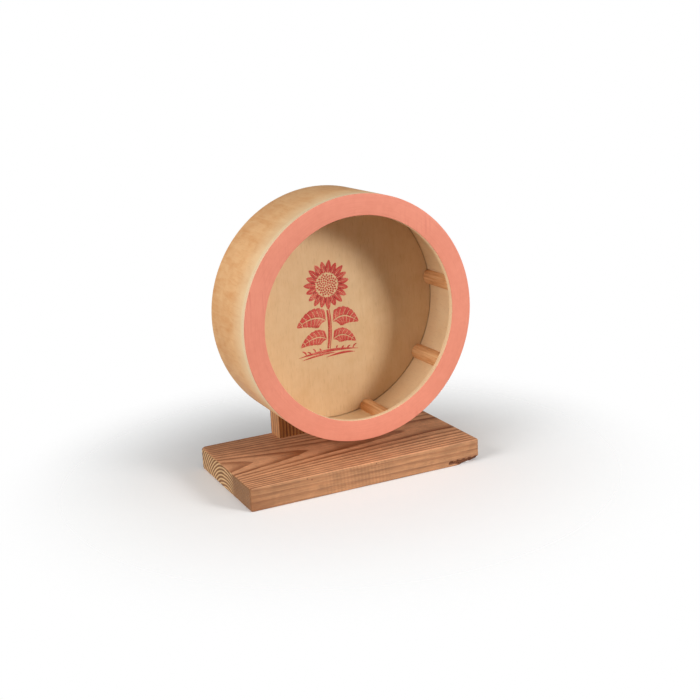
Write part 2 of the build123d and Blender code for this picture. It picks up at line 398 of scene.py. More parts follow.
# %% Shared effect: growth rings
def growth_rings():
    """Distance from the pith, divided by the ring width, gives the ring and the place inside it.

    x runs along the trunk from the near end, y across it, z up from the face. The pith lies at
    z = rise * exp(-x / reach) - depth, and towards the sides its fall evens out. Latewood darkens slowly
    through a ring and stops at once where the ring ends.
    """
    tree, wiring, given, out = new_group("growth rings", {
        "Vector": (VECTOR, None),
        "Depth": (FLOAT, 0.0505),
        "Rise": (FLOAT, 0.0095),
        "Reach": (FLOAT, 0.090),
        "Ring width": (FLOAT, 0.003),
        "Shift": (FLOAT, 0.0),
        "Back squeeze": (FLOAT, 1.0),
        "Wander": (FLOAT, 0.0012),
    }, {"Latewood": FLOAT, "Tone": FLOAT, "Phase": FLOAT})
    x, y, z = wiring.split(given["Vector"])
    fall = wiring.math("EXPONENT", wiring.math("DIVIDE", wiring.times(x, -1.0), given["Reach"]))
    even = wiring.step(wiring.math("ABSOLUTE", y), 0.012, 0.062, 0.0, 0.85)
    fall = wiring.add(wiring.times(fall, wiring.less(1.0, even)), wiring.times(even, 0.42))
    height = wiring.less(wiring.add(z, given["Depth"]), wiring.times(fall, given["Rise"]))
    far_side = wiring.times(wiring.math("MAXIMUM", y, 0.0), given["Back squeeze"])
    across = wiring.add(wiring.math("MINIMUM", y, 0.0), far_side)
    radius = wiring.length(across, height)
    bent = wiring.mapped(given["Vector"], stretch=(0.22, 1, 1))
    slow = wiring.less(wiring.noise(bent, 34, 2.0, 0.5), 0.5)
    quick = wiring.less(wiring.noise(bent, 190, 2.0, 0.5), 0.5)
    shift = wiring.add(slow, wiring.times(quick, 0.22))
    radius = wiring.add(radius, wiring.times(shift, given["Wander"]))
    phase = wiring.add(wiring.math("DIVIDE", radius, given["Ring width"]), given["Shift"])
    inside = wiring.math("FRACT", phase)
    late = wiring.times(wiring.step(inside, 0.30, 0.88), wiring.step(inside, 0.93, 1.0, 1.0, 0.0))
    tone = wiring.node("ShaderNodeTexWhiteNoise", noise_dimensions="1D")
    wiring.put(wiring.math("FLOOR", phase), tone.inputs["W"])
    wiring.put(late, out["Latewood"])
    wiring.put(tone.outputs["Value"], out["Tone"])
    wiring.put(inside, out["Phase"])
    return tree


rings_group = growth_rings()

# %% [markdown]
# Fibres and pores. Close up, every planed wood shows streaks far longer than they are wide. Stretching a
# noise texture along the grain gives them, and a second, finer one, cut off high, leaves only the
# short dark dashes of open pores.


# %% Shared effect: fibres
def fibres():
    """Noise stretched along x: streaks are the soft bands, pores the short dark dashes."""
    tree, wiring, given, out = new_group("wood fibres", {
        "Vector": (VECTOR, None),
        "Streak scale": (FLOAT, 700.0),
        "Pore scale": (FLOAT, 2200.0),
    }, {"Streaks": FLOAT, "Pores": FLOAT})
    long_way = wiring.mapped(given["Vector"], stretch=(0.035, 1, 1))
    streaks = wiring.noise(long_way, given["Streak scale"], 4.0, 0.62)
    short_way = wiring.mapped(given["Vector"], stretch=(0.09, 1, 1))
    pores = wiring.noise(short_way, given["Pore scale"], 1.0, 0.4)
    wiring.put(streaks, out["Streaks"])
    wiring.put(wiring.step(pores, 0.60, 0.72), out["Pores"])
    return tree


fibres_group = fibres()

# %% [markdown]
# Mottle. Varnished plywood is never one tone: the veneer is cut in a curl, it takes the varnish
# unevenly and hands leave it a little duller in places. Two sizes of soft noise stand for that, and
# the same pair drives the colour and the gloss, so that darker patches are also the smoother ones.


# %% Shared effect: mottle
def mottle():
    """Broad and small soft noise, each centred on zero, and their weighted sum."""
    tree, wiring, given, out = new_group("mottle", {
        "Vector": (VECTOR, None),
        "Broad scale": (FLOAT, 22.0),
        "Small scale": (FLOAT, 160.0),
    }, {"Broad": FLOAT, "Small": FLOAT, "Both": FLOAT})
    broad = wiring.less(wiring.noise(given["Vector"], given["Broad scale"], 3.0, 0.55, 0.6), 0.5)
    small = wiring.less(wiring.noise(given["Vector"], given["Small scale"], 3.0, 0.6, 0.3), 0.5)
    wiring.put(broad, out["Broad"])
    wiring.put(small, out["Small"])
    wiring.put(wiring.add(broad, wiring.times(small, 0.6)), out["Both"])
    return tree


mottle_group = mottle()
mottle_reach = 0.3


def mottled(wiring, patches, low=0.0, high=1.0):
    """A value that goes from low to high with the mottle, which stays within its reach of zero."""
    return wiring.step(patches["Both"], -mottle_reach, mottle_reach, low, high)


# %% [markdown]
# Plywood edges. A cut edge shows its layers: those whose fibres run along the edge are pale and smooth,
# those that are cut across are darker and a little rough. Counting layers through the thickness gives
# the stripes, and a thin dark line between two of them is the glue.


# %% Shared effect: plywood layers
def ply_layers():
    """The through-thickness distance times the layer count: odd layers are cut across the fibres."""
    tree, wiring, given, out = new_group("plywood layers", {
        "Through": (FLOAT, 0.0),
        "Layers": (FLOAT, 5.0),
        "Vector": (VECTOR, None),
    }, {"Cross": FLOAT, "Glue": FLOAT, "Speckle": FLOAT})
    wobble = wiring.less(wiring.noise(given["Vector"], 260, 2.0, 0.5), 0.5)
    counted = wiring.add(wiring.times(given["Through"], given["Layers"]), wiring.times(wobble, 0.16))
    odd = wiring.math("FRACT", wiring.times(counted, 0.5))
    from_line = wiring.math("ABSOLUTE", wiring.less(wiring.math("FRACT", counted), 0.5))
    wiring.put(wiring.step(odd, 0.46, 0.54), out["Cross"])
    wiring.put(wiring.step(from_line, 0.42, 0.5), out["Glue"])
    wiring.put(wiring.step(wiring.noise(given["Vector"], 1500, 2.0, 0.6), 0.3, 0.7), out["Speckle"])
    return tree


ply_group = ply_layers()


def plywood_edge(wiring, position, through, layers):
    """Colour of a sawn plywood edge from how far through the sheet a point lies."""
    edge = wiring.group(ply_group, through=through, layers=layers, vector=position)
    along = wiring.mix(edge["Speckle"], linear(246, 224, 188), linear(232, 204, 162))
    across = wiring.mix(edge["Speckle"], linear(238, 208, 168), linear(224, 188, 144))
    colour = wiring.mix(edge["Cross"], along, across)
    return wiring.mix(wiring.times(edge["Glue"], 0.25), colour, linear(168, 116, 74))


# %% [markdown]
# The base board is a thick piece of flat-sawn softwood. Its edges are eased by hand, one upright corner
# is nearly sharp, and splinters have torn away along the lower front edge near the right end. A box with
# a bevel would have four equal corners. Here the outline in plan is a function of the way round it, and
# it is drawn in a little at the top and bottom by the easing.

# %% Base board: outline
corner_easings = {
    "front_right": 3.2 * mm,
    "back_right": 3.4 * mm,
    "back_left": 4.6 * mm,
    "front_left": 1.9 * mm,
}
arris_easing = 1.2 * mm
extra_easing = 1.0 * mm
easing_reach = 34 * mm
outline_step = 0.8 * mm


def plan_outline(low, high, easings, spacing):
    """Points and outward directions round a rectangle, with a quarter circle of its own at each corner."""
    corners = [
        (high.x, low.y, -1, 1, 270, easings["front_right"]),
        (high.x, high.y, -1, -1, 0, easings["back_right"]),
        (low.x, high.y, 1, -1, 90, easings["back_left"]),
        (low.x, low.y, 1, 1, 180, easings["front_left"]),
    ]
    arcs = []
    for x, y, side_x, side_y, start, easing in corners:
        bend = np.radians(np.linspace(start, start + 90, 11))
        way = np.stack([np.cos(bend), np.sin(bend)], axis=-1)
        arcs.append((np.array([x + side_x * easing, y + side_y * easing]) + easing * way, way))
    points, ways = [], []
    for index, (arc, way) in enumerate(arcs):
        next_arc = arcs[(index + 1) % len(arcs)][0]
        count = max(2, int(np.linalg.norm(next_arc[0] - arc[-1]) / spacing))
        share = np.linspace(0, 1, count + 1)[1:-1, None]
        points += [arc, arc[-1] * (1 - share) + next_arc[0] * share]
        ways += [way, np.repeat(way[-1:], count - 1, axis=0)]
    return np.concatenate(points), np.concatenate(ways)


board_outline, board_ways = plan_outline(board_low, board_high, corner_easings, outline_step)
print("points round the board:", len(board_outline))

# %% [markdown]
# The tear. Seen from the side it is a strip that starts at once at its left end and grows deeper to the
# right, where it has taken the lower edge away. How far the surface is pushed in is a function of the
# height: a steep step at the top of the tear and a long slope down from it.

# %% Base board: the tear
tear_start = 72.8 * mm
tear_deepens_from = 79 * mm
tear_top = 4.7 * mm
tear_step = 1.6 * mm
tear_depth = 5.6 * mm
tear_wrap = 11 * mm


def tear_push(outline, height):
    """How far each point is pushed in: (step + slope * (1 - z / top) ** 1.6), grown along x."""
    x = outline[:, :1]
    side = 1 - np.clip((outline[:, 1:] - board_low.y - 1 * mm) / tear_wrap, 0, 1)
    begun = np.clip((x - tear_start) / (1.4 * mm), 0, 1)
    grown = np.clip((x - tear_deepens_from) / (board_high.x - tear_deepens_from), 0, 1)
    ragged = 0.35 * mm * (np.sin(x * 1100) + 0.6 * np.sin(x * 2700 + 1) + 0.4 * np.sin(x * 5100))
    top = tear_top + 0.5 * mm * grown + ragged
    below = top - height
    step = tear_step * np.clip(below / (0.9 * mm), 0, 1) * (1 + 0.25 * np.sin(x * 3900 + height * 2500))
    slope = tear_depth * grown ** 1.5 * np.clip(below / top, 0, 1) ** 1.6
    lip = np.clip((height - 1.6 * mm * (1 - grown * 4)) / (0.7 * mm), 0, 1)
    return (step * lip + slope) * begun * side


# %% [markdown]
# Two screws come up through the board into the post, so its underside has two countersunk holes. A flat
# lid with holes can't be one face. Blender's tessellate_polygon cuts it into triangles between the
# outline and the holes, and each hole's wall is a profile of (radius, height) carried round its middle.

# %% Base board: screw holes
screw_spacing = 56 * mm
screw_inset = 9.5 * mm
head_hole_radius = 4.35 * mm
shank_hole_radius = 2.3 * mm
head_sink = 0.6 * mm
hole_segments = 40


def screw_hole(side, thickness):
    """Points and faces of one hole's wall. side is -1 for the left screw and 1 for the right one."""
    turns = np.linspace(0, 2 * np.pi, hole_segments, endpoint=False)[:, None]
    cone = head_hole_radius - shank_hole_radius
    wall = np.array([
        (head_hole_radius, 0),
        (head_hole_radius, head_sink),
        (shank_hole_radius, head_sink + cone),
        (shank_hole_radius, thickness),
    ])
    shape = (hole_segments, len(wall))
    points = np.stack([
        axle_x + side * screw_spacing / 2 + np.cos(turns) * wall[:, 0],
        board_high.y - screw_inset + np.sin(turns) * wall[:, 0],
        np.broadcast_to(board_low.z + wall[:, 1], shape),
    ], axis=-1)
    faces, _, _ = grid_faces(*shape, True, False)
    return points, faces


# %% [markdown]
# The side of the board is a stack of rows. They turn over the lower arris, go up, closer together where
# the tear is, and turn over the upper arris. The easing grows towards the back left corner.

# %% Base board: rows
lid_margin = 0.2 * mm
wear_depth = 0.05 * mm


def board_rows(thickness):
    """How far each row is drawn in and how high it lies, at every point of the outline."""
    back_left = np.array([board_low.x, board_high.y])
    near = np.exp(-np.linalg.norm(board_outline - back_left, axis=1) / easing_reach)
    easing = (arris_easing + extra_easing * near)[:, None]
    bend = np.radians(np.linspace(0, 90, 7))[None, :]
    rim_inset = easing * (1 - np.sin(bend))
    rim_height = easing * (1 - np.cos(bend))
    low_rows = np.linspace(0, 0.30, 16)[None, 1:]
    high_rows = np.linspace(0.30, 1, 13)[None, 1:-1]
    share = np.concatenate([low_rows, high_rows], axis=1)
    middle = easing + (thickness - 2 * easing) * share
    around = np.arange(len(board_outline))[:, None]
    wear = wear_depth * (1 + np.sin(around * 0.061) * np.sin(around * 0.017 + 1))
    flat = np.ones_like(easing)
    inset = np.concatenate([
        easing + lid_margin,
        rim_inset + wear,
        0 * middle + wear,
        rim_inset[:, ::-1] + wear,
        easing + lid_margin,
    ], axis=1)
    height = np.concatenate([
        flat * 0,
        rim_height,
        middle,
        thickness - rim_height[:, ::-1],
        flat * thickness,
    ], axis=1)
    return inset, height


# %% [markdown]
# Now the parts of the board's surface are put together: the rows, the walls of the two holes and the two
# flat lids. Each point also keeps how far the tear pushed it in, as an attribute, so that the material
# can show raw wood there, painted dark brown, partly as painted shade for the undercut.


# %% Base board: shape
def board_shape():
    """Row k of the sides is the outline drawn in by inset_k, at height_k, less the tear's push."""
    thickness = board_high.z - board_low.z
    inset, height = board_rows(thickness)
    push = tear_push(board_outline, height)
    plan = board_outline[:, None, :] - board_ways[:, None, :] * inset[..., None]
    plan[..., 1] += push
    sides = np.concatenate([plan, height[..., None] + board_low.z], axis=-1)
    row_count, column_count = sides.shape[:2]
    faces, _, _ = grid_faces(row_count, column_count, True, False)
    points, groups = [sides.reshape(-1, 3)], [faces]
    first = np.arange(row_count) * column_count
    bottom_loops, top_loops = [first], [first + column_count - 1]
    for side in (-1, 1):
        start = sum(len(block) for block in points)
        hole_points, hole_faces = screw_hole(side, thickness)
        points.append(hole_points.reshape(-1, 3))
        groups.append(hole_faces + start)
        wall_count = hole_points.shape[1]
        first = start + np.arange(hole_segments) * wall_count
        bottom_loops.append(first)
        top_loops.append(first + wall_count - 1)
    points = np.concatenate(points)
    for loops in (bottom_loops, top_loops):
        numbers = np.concatenate(loops)
        lid = tessellate_polygon([[Vector(point) for point in points[loop]] for loop in loops])
        groups.append(numbers[np.array(lid)])
    board = add_piece("board", points, groups, sharp_angle=38)
    torn = np.zeros(len(points), dtype=np.float32)
    torn[:push.size] = np.clip(push.ravel() / (0.5 * mm), 0, 1)
    board.data.attributes.new("torn", "FLOAT", "POINT").data.foreach_set("value", torn)
    return board


board = board_shape()

# %% [markdown]
# The board's wood: pale earlywood against red-brown latewood. The edges are cut nearly along the rings'
# radius, so they look quieter and yellower than the top. On the end the fibres stand upright and drink in
# the oil, so the rings show there with the most contrast. The object-space normal says which way a
# surface faces, and so which of the three colourings it gets.


# %% Softwood material
def softwood(name, move, turn, colours, contrast, **ring_values):
    """Growth rings and fibres in a solid. colours: early and late on the face, the edge and the end."""
    material, wiring, shader = new_material(name, specular=0.35)
    position, normal, _ = surface_facts(wiring)
    local = wiring.mapped(position, move=move, turn=turn)
    rings = wiring.group(rings_group, vector=local, **ring_values)
    grain = wiring.group(fibres_group, vector=local)
    patches = wiring.group(mottle_group, vector=local, broad_scale=16.0, small_scale=90.0)
    facing = wiring.split(wiring.mapped(normal, turn=turn))
    end = wiring.step(wiring.math("ABSOLUTE", facing[0]), 0.55, 0.85)
    edge = wiring.step(wiring.math("ABSOLUTE", facing[1]), 0.5, 0.85)
    tones = [linear(*colour) for colour in colours]
    face_early, face_late, edge_early, edge_late, end_early, end_late = tones
    early = wiring.mix(edge, face_early, edge_early)
    late = wiring.mix(edge, face_late, edge_late)
    strength = wiring.add(wiring.times(patches["Broad"], 1.1), contrast)
    strength = wiring.math("ADD", strength, wiring.times(rings["Tone"], 0.3), clamp=True)
    wood = wiring.mix(wiring.times(rings["Latewood"], strength), early, late)
    line_start = wiring.step(rings["Phase"], 0.40, 0.62)
    line_end = wiring.step(rings["Phase"], 0.86, 0.97, 1.0, 0.0)
    pale_line = wiring.times(line_start, line_end)
    across = wiring.split(local)[1]
    pale_line = wiring.times(pale_line, wiring.step(across, -0.019, -0.009, 0.14, 1.0))
    end_wood = wiring.mix(pale_line, end_early, end_late)
    wood = wiring.mix(end, wood, end_wood)
    streak = wiring.step(grain["Streaks"], 0.25, 0.75, 0.76, 1.17)
    wood = wiring.mix(1.0, wood, wiring.grey(streak), "MULTIPLY")
    blotch = wiring.step(patches["Small"], -0.22, 0.22, 0.88, 1.08)
    wood = wiring.mix(1.0, wood, wiring.grey(blotch), "MULTIPLY")
    wood = wiring.mix(wiring.times(grain["Pores"], 0.25), wood, (0.16, 0.075, 0.035))
    relief = wiring.add(rings["Latewood"], wiring.times(grain["Streaks"], 0.7))
    relief = wiring.less(relief, wiring.times(grain["Pores"], 0.5))
    wiring.put(wiring.step(rings["Latewood"], 0.0, 1.0, 0.64, 0.50), shader.inputs["Roughness"])
    return material, wiring, shader, wood, relief, position


# %% [markdown]
# What belongs to this board alone comes on top: three pin knots on the front edge, the faint upright
# ripples that a saw leaves, a darker lower corner on the left and the raw wood of the tear, whose dark
# brown is partly painted shade for the undercut.

# %% Base board: wood
board_colours = (
    (212, 154, 113), (144, 86, 50),
    (178, 126, 86), (154, 103, 67),
    (131, 88, 52), (216, 174, 124),
)
board_wood, wiring, shader, wood, relief, position = softwood(
    "board softwood",
    move=(-board_low.x, 4 * mm, -board_high.z),
    turn=(0, 0, 0),
    colours=board_colours,
    contrast=0.68,
    depth=50.5 * mm,
    rise=9.5 * mm,
    reach=90 * mm,
    ring_width=3.0 * mm,
    shift=0.62,
    back_squeeze=0.88,
    wander=2.4 * mm,
)
x, y, z = wiring.split(position)
on_front = wiring.step(y, board_low.y + 2 * mm, board_low.y + 5 * mm, 1.0, 0.0)
pin_knots = ((-55, 17.4), (-51, 16.0), (6, 17.6))
for knot_x, knot_z in pin_knots:
    away = wiring.length(wiring.less(x, knot_x * mm), wiring.less(z, knot_z * mm))
    spot = wiring.times(wiring.step(away, 0.3 * mm, 0.9 * mm, 0.75, 0.0), on_front)
    wood = wiring.mix(spot, wood, linear(104, 58, 34))
ripple_pitch = 3.1 * mm
wave = wiring.math("SINE", wiring.times(wiring.add(x, wiring.times(z, 0.06)), 2 * math.pi / ripple_pitch))
rippled = wiring.times(wiring.step(x, -44 * mm, -34 * mm), wiring.step(x, 10 * mm, 22 * mm, 1.0, 0.0))
wave = wiring.times(wiring.times(wave, rippled), on_front)
wood = wiring.mix(1.0, wood, wiring.grey(wiring.step(wave, -1.0, 1.0, 0.95, 1.05)), "MULTIPLY")
corner = wiring.add(wiring.less(x, board_low.x), wiring.times(z, 1.6))
stain = wiring.times(wiring.step(corner, 2 * mm, 40 * mm, 0.65, 0.0), on_front)
wood = wiring.mix(stain, wood, linear(136, 84, 48))
torn = wiring.node("ShaderNodeAttribute", attribute_name="torn").outputs["Fac"]
splinters = wiring.noise(wiring.mapped(position, stretch=(0.12, 1, 1)), 1100, 3.0, 0.6)
# The tear is painted dark brown: partly its raw wood, partly painted shade for the shadowed undercut.
torn_wood_and_painted_shade = wiring.mix(wiring.step(splinters, 0.35, 0.65), linear(92, 48, 27), linear(134, 80, 46))
wood = wiring.mix(wiring.times(torn, 0.95), wood, torn_wood_and_painted_shade)
wiring.put(wood, shader.inputs["Base Color"])
relief = wiring.add(relief, wiring.times(wiring.times(torn, splinters), 3.0))
relief = wiring.add(relief, wiring.times(wave, 0.25))
bump(wiring, shader, relief, 0.12 * mm)
place(board, "stand", "base_board", board_wood)

# %% [markdown]
# The post is the same kind of wood, standing up. Its mesh from the construction is right as it is, with
# its eased edges and its two bearing seats, so only its material changes. Turning the solid pattern by
# a quarter turn about Y makes the trunk stand. Its front and back get the darker edge colours, which are
# partly the grain there and partly painted shade for the wheel's shadow on the front.

# %% Post: wood
# Painted shade: the second pair, used on the front and back, is darkened partly for the wheel's shadow on
# the front.
post_colours_front_shaded = (
    (204, 146, 98), (140, 80, 42),
    (178, 118, 64), (122, 66, 30),
    (150, 98, 58), (214, 170, 118),
)
post_wood, wiring, shader, wood, relief, _ = softwood(
    "post softwood",
    move=(30 * mm, 12 * mm, 0.0),
    turn=(0, math.radians(90), 0),
    colours=post_colours_front_shaded,
    contrast=0.7,
    depth=55 * mm,
    rise=4 * mm,
    reach=120 * mm,
    ring_width=2.6 * mm,
    wander=2.4 * mm,
)
wiring.put(wood, shader.inputs["Base Color"])
bump(wiring, shader, relief, 0.12 * mm)
dress_node("post", post_wood)

# %% [markdown]
# The front ring is sawn from plywood, eased by hand and painted on its face only. Its cut edges stay bare.
# It is a rectangle with quarter-round corners carried round the axle.

# %% Front ring: shape
ring_segments = 384
front_easing = 0.5 * mm
back_easing = 0.2 * mm
ring_turns = np.linspace(0, 2 * np.pi, ring_segments, endpoint=False)
ring_profile = rounded_profile(mouth_radius, drum_radius, ring_low.y, ring_high.y,
                               (front_easing, front_easing, back_easing, back_easing))
front_ring = swept_ring("painted_ring", ring_profile, ring_turns)

# %% [markdown]
# Matt coral paint, put on with a brush. It stops a little unevenly where the face turns over into the
# bare edge, so the mask is the distance behind the face, shifted by noise. Brush marks run round the
# ring and follow its own UV, while the upright grain of the veneer still shows through the paint as
# faint darker lines.

# %% Front ring: paint and bare edge
ring_thickness = ring_high.y - ring_low.y
ring_paint, wiring, shader = new_material("coral paint on plywood", specular=0.35)
position, _, uv = surface_facts(wiring)
behind_face = wiring.less(wiring.split(position)[1], ring_low.y)
bare = plywood_edge(wiring, position, wiring.math("DIVIDE", behind_face, ring_thickness), 5.0)
marks = wiring.noise(wiring.mapped(uv, stretch=(0.05, 1, 1)), 900, 4.0, 0.6)
upright = wiring.mapped(position, turn=(0, math.radians(90), 0))
grain = wiring.group(fibres_group, vector=upright, streak_scale=380.0)
patches = wiring.group(mottle_group, vector=position, broad_scale=17.0, small_scale=210.0)
paint = wiring.mix(mottled(wiring, patches), linear(221, 133, 107), linear(229, 142, 116))
paint = wiring.mix(wiring.step(marks, 0.40, 0.80, 0.0, 0.22), paint, linear(202, 108, 88))
lines = wiring.times(wiring.step(grain["Streaks"], 0.52, 0.66), wiring.step(patches["Broad"], -0.02, 0.14))
paint = wiring.mix(wiring.times(lines, 0.40), paint, linear(204, 106, 88))
ragged = wiring.times(wiring.noise(position, 700, 3.0, 0.6), 0.5 * mm)
mask = wiring.step(wiring.less(behind_face, ragged), 0.05 * mm, 0.20 * mm, 1.0, 0.0)
wiring.put(wiring.mix(mask, bare, paint), shader.inputs["Base Color"])
wiring.put(wiring.step(marks, 0.2, 0.8, 0.58, 0.68), shader.inputs["Roughness"])
relief = wiring.add(wiring.times(marks, 0.5), wiring.times(grain["Streaks"], 0.5))
bump(wiring, shader, relief, 0.06 * mm)
place(front_ring, "wheel", "front_ring", ring_paint)

# %% [markdown]
# The running band is one strip of thin plywood, steamed and bent until its ends meet. They are thinned
# and lapped, so the seam is a slanted cut. In the sweep that slant is a lead: the outside of the
# profile starts a little further round than the inside, and both open ends get a lid.

# %% Running band: shape
seam_turn = math.radians(262)
seam_lap = 12 * mm
seam_gap = 0.12 * mm
band_segments = 360

band_profile = rounded_profile(drum_radius - band_thickness, drum_radius, ring_high.y, band_high.y,
                               (0.05 * mm, 0.05 * mm, 0.5 * mm, 0.5 * mm))
inward = (drum_radius - band_profile[:, 0]) / band_thickness
band_lead = (inward - 0.5) * seam_lap / drum_radius
slit = seam_gap * math.hypot(band_thickness, seam_lap) / band_thickness / drum_radius
band_turns = seam_turn + np.linspace(slit / 2, 2 * np.pi - slit / 2, band_segments + 1)
running_band = swept_ring("bent_band", band_profile, band_turns, lead=band_lead)

# %% [markdown]
# Thin plywood bends round the axle most easily when the fibres of its faces run along the axle, so the
# grain of the band runs from front to back. The veneer has a curly figure: soft orange and yellow bands
# side by side. The strip of the outside next to the ring is painted paler, a painted highlight for the soft
# sheen of light along the ring's edge.


# %% Veneer
def veneer(wiring, grain_vector, position, pale, deep, figure, streaks=0.7):
    """Face veneer: soft streaks along the grain, broad patches and curly bands between two tones."""
    grain = wiring.group(fibres_group, vector=grain_vector, streak_scale=420.0, pore_scale=1700.0)
    patches = wiring.group(mottle_group, vector=position, broad_scale=24.0, small_scale=130.0)
    curl = wiring.noise(wiring.mapped(grain_vector, stretch=(0.22, 1, 1)), 150, 3.0, 0.6, 1.2)
    tone = wiring.add(wiring.times(patches["Both"], 1.1), 0.5)
    tone = wiring.add(tone, wiring.times(wiring.less(curl, 0.5), figure))
    tone = wiring.math("ADD", tone, wiring.times(wiring.less(grain["Streaks"], 0.5), streaks), clamp=True)
    colour = wiring.mix(tone, linear(*deep), linear(*pale))
    colour = wiring.mix(wiring.times(grain["Pores"], 0.14), colour, linear(150, 104, 62))
    return colour, grain, patches, curl


# %% [markdown]
# How far a point of the band lies from the axle tells whether it is outside, where the figure is strong,
# or inside, where the wood is paler. The UV gives the distance along the strip, so the grain bends with
# the wood. Where the back disc meets the inside a thin dark line is painted: painted shade in that crease.

# %% Running band: varnished plywood
outside_pale, outside_deep = (242, 196, 142), (220, 156, 98)
inside_pale, inside_deep = (246, 220, 180), (234, 200, 156)
# Painted shade: the dark brown that stands for the shade in the crease between the disc and the band.
crease_shade_colour = linear(96, 56, 28)

band_ply, wiring, shader = new_material("varnished bent plywood", specular=0.45)
position, _, uv = surface_facts(wiring)
x, y, z = wiring.split(position)
from_axle = wiring.length(wiring.less(x, axle_x), wiring.less(z, axle_z))
through = wiring.math("DIVIDE", wiring.less(drum_radius, from_axle), band_thickness)
along_strip = wiring.split(uv)[0]
grain_vector = wiring.joined(y, along_strip, from_axle)
face, grain, patches, curl = veneer(wiring, grain_vector, position, outside_pale, outside_deep, 1.5, 0.4)
ember = wiring.times(wiring.step(curl, 0.52, 0.72), wiring.step(patches["Broad"], -0.1, 0.15))
face = wiring.mix(wiring.times(ember, 0.5), face, linear(224, 148, 90))
inner, _, _, _ = veneer(wiring, grain_vector, position, inside_pale, inside_deep, 0.35, 0.3)
# Painted shade: the inside darkens within a millimetre of the disc, for the shade in that crease.
at_disc = wiring.math("ABSOLUTE", wiring.less(y, disc_low.y))
inner = wiring.mix(wiring.step(at_disc, 0.2 * mm, 0.9 * mm, 0.25, 0.0), inner, crease_shade_colour)
face = wiring.mix(wiring.step(through, 0.4, 0.6), face, inner)
# Painted highlight: the outside is painted paler towards the ring, for the sheen of light there.
painted_sheen_by_ring = wiring.add(wiring.step(wiring.less(y, band_low.y), 0.0, 4 * mm, 0.30, 0.0),
                    wiring.step(wiring.less(y, band_low.y), 0.0, 28 * mm, 0.50, 0.0))
outside = wiring.step(through, 0.2, 0.4, 1.0, 0.0)
face = wiring.mix(wiring.times(painted_sheen_by_ring, outside), face, linear(238, 212, 170))
edge_colour = plywood_edge(wiring, position, through, 3.0)
rear = wiring.step(wiring.less(y, band_high.y), -0.45 * mm, -0.25 * mm)
wiring.put(wiring.mix(rear, face, edge_colour), shader.inputs["Base Color"])
wiring.put(mottled(wiring, patches, 0.42, 0.58), shader.inputs["Roughness"])
bump(wiring, shader, grain["Streaks"], 0.05 * mm)
place(running_band, "wheel", "running_band", band_ply)

# %% [markdown]
# The back disc closes the drum. It is a flat sheet, cut round and pushed in from behind until it meets
# the ends of the rungs. Its profile runs from near the middle of the front face, over the eased rim, to
# near the middle of the back face, where two small round lids close it.

# %% Back disc: shape
disc_front_easing = 0.7 * mm
disc_back_easing = 0.35 * mm
disc_segments = 256
rim_row_gap = 0.3 * mm


def disc_shape():
    """Rows are turns about the axle. Columns go out over the front, round the rim and back in."""
    bend = np.radians(np.linspace(0, 90, 6))
    spread = np.array([0.03, 0.3, 0.6, 0.85]) * disc_radius
    front_rim = np.stack([disc_radius - disc_front_easing * (1 - np.sin(bend)),
                          disc_low.y + disc_front_easing * (1 - np.cos(bend))], axis=-1)
    back_rim = np.stack([disc_radius - disc_back_easing * (1 - np.cos(bend)),
                         disc_high.y - disc_back_easing * (1 - np.sin(bend))], axis=-1)
    near_rim = np.array([(disc_radius - disc_front_easing - rim_row_gap, disc_low.y)])
    near_back = np.array([(disc_radius - disc_back_easing - rim_row_gap, disc_high.y)])
    front = np.stack([spread, np.full(4, disc_low.y)], axis=-1)
    back = np.stack([spread[::-1], np.full(4, disc_high.y)], axis=-1)
    profile = np.concatenate([front, near_rim, front_rim, back_rim, near_back, back])
    turns = np.linspace(0, 2 * np.pi, disc_segments, endpoint=False)
    points = carried_round(profile, turns, np.zeros(len(profile)))
    row_count, column_count = points.shape[:2]
    sides, _, _ = grid_faces(row_count, column_count, True, False)
    first = np.arange(row_count) * column_count
    lids = np.stack([first, first + column_count - 1])
    return add_piece("drum_back", points.reshape(-1, 3), [sides, lids])


back_disc = disc_shape()

# %% [markdown]
# The disc's veneer is quieter and paler than the band's, with its grain upright. It carries the print, so
# it was sanded finer and varnished once. Round its rim, where it meets the band, a thin dark line is
# painted: painted shade in the crease.

# %% Back disc: veneer
disc_pale, disc_deep = (232, 199, 155), (216, 177, 129)
disc_thickness = disc_high.y - disc_low.y
disc_ply, wiring, shader = new_material("varnished flat plywood", specular=0.35)
position, normal, _ = surface_facts(wiring)
x, y, z = wiring.split(position)
upright = wiring.mapped(position, turn=(0, math.radians(90), 0))
face, grain, patches, _ = veneer(wiring, upright, position, disc_pale, disc_deep, 0.3, 0.45)
from_axle = wiring.length(wiring.less(x, axle_x), wiring.less(z, axle_z))
# Painted shade: the face darkens within a millimetre of the rim, for the shade in the crease at the band.
painted_crease_shade = wiring.step(wiring.less(disc_radius, from_axle), 0.3 * mm, 1.0 * mm, 0.45, 0.0)
face = wiring.mix(painted_crease_shade, face, crease_shade_colour)
through = wiring.math("DIVIDE", wiring.less(y, disc_low.y), disc_thickness)
edge_colour = plywood_edge(wiring, position, through, 5.0)
facing = wiring.math("ABSOLUTE", wiring.split(normal)[1])
wiring.put(wiring.mix(wiring.step(facing, 0.3, 0.7), edge_colour, face), shader.inputs["Base Color"])
wiring.put(mottled(wiring, patches, 0.52, 0.64), shader.inputs["Roughness"])
bump(wiring, shader, grain["Streaks"], 0.03 * mm)
place(back_disc, "wheel", "back_disc", disc_ply)

# %% [markdown]
# The rungs are half-round strips, glued across the band for grip. Each one is its own piece. The profile
# is a shallow half circle whose flat side has the curve of the band, and a strip differs from its
# neighbour in the figure of the wood, because its UV starts at another place along the stick.

# %% Rungs: shape
rung_count = 9
rung_first_turn = math.radians(7.7)
rung_rod_radius = 6.5 * mm
rung_height = 6 * mm
rung_easing = 0.5 * mm
glue_gap = 0.1 * mm
seat_radius = drum_radius - band_thickness - glue_gap
figure_shift = 0.137
profile_length = 20 * mm


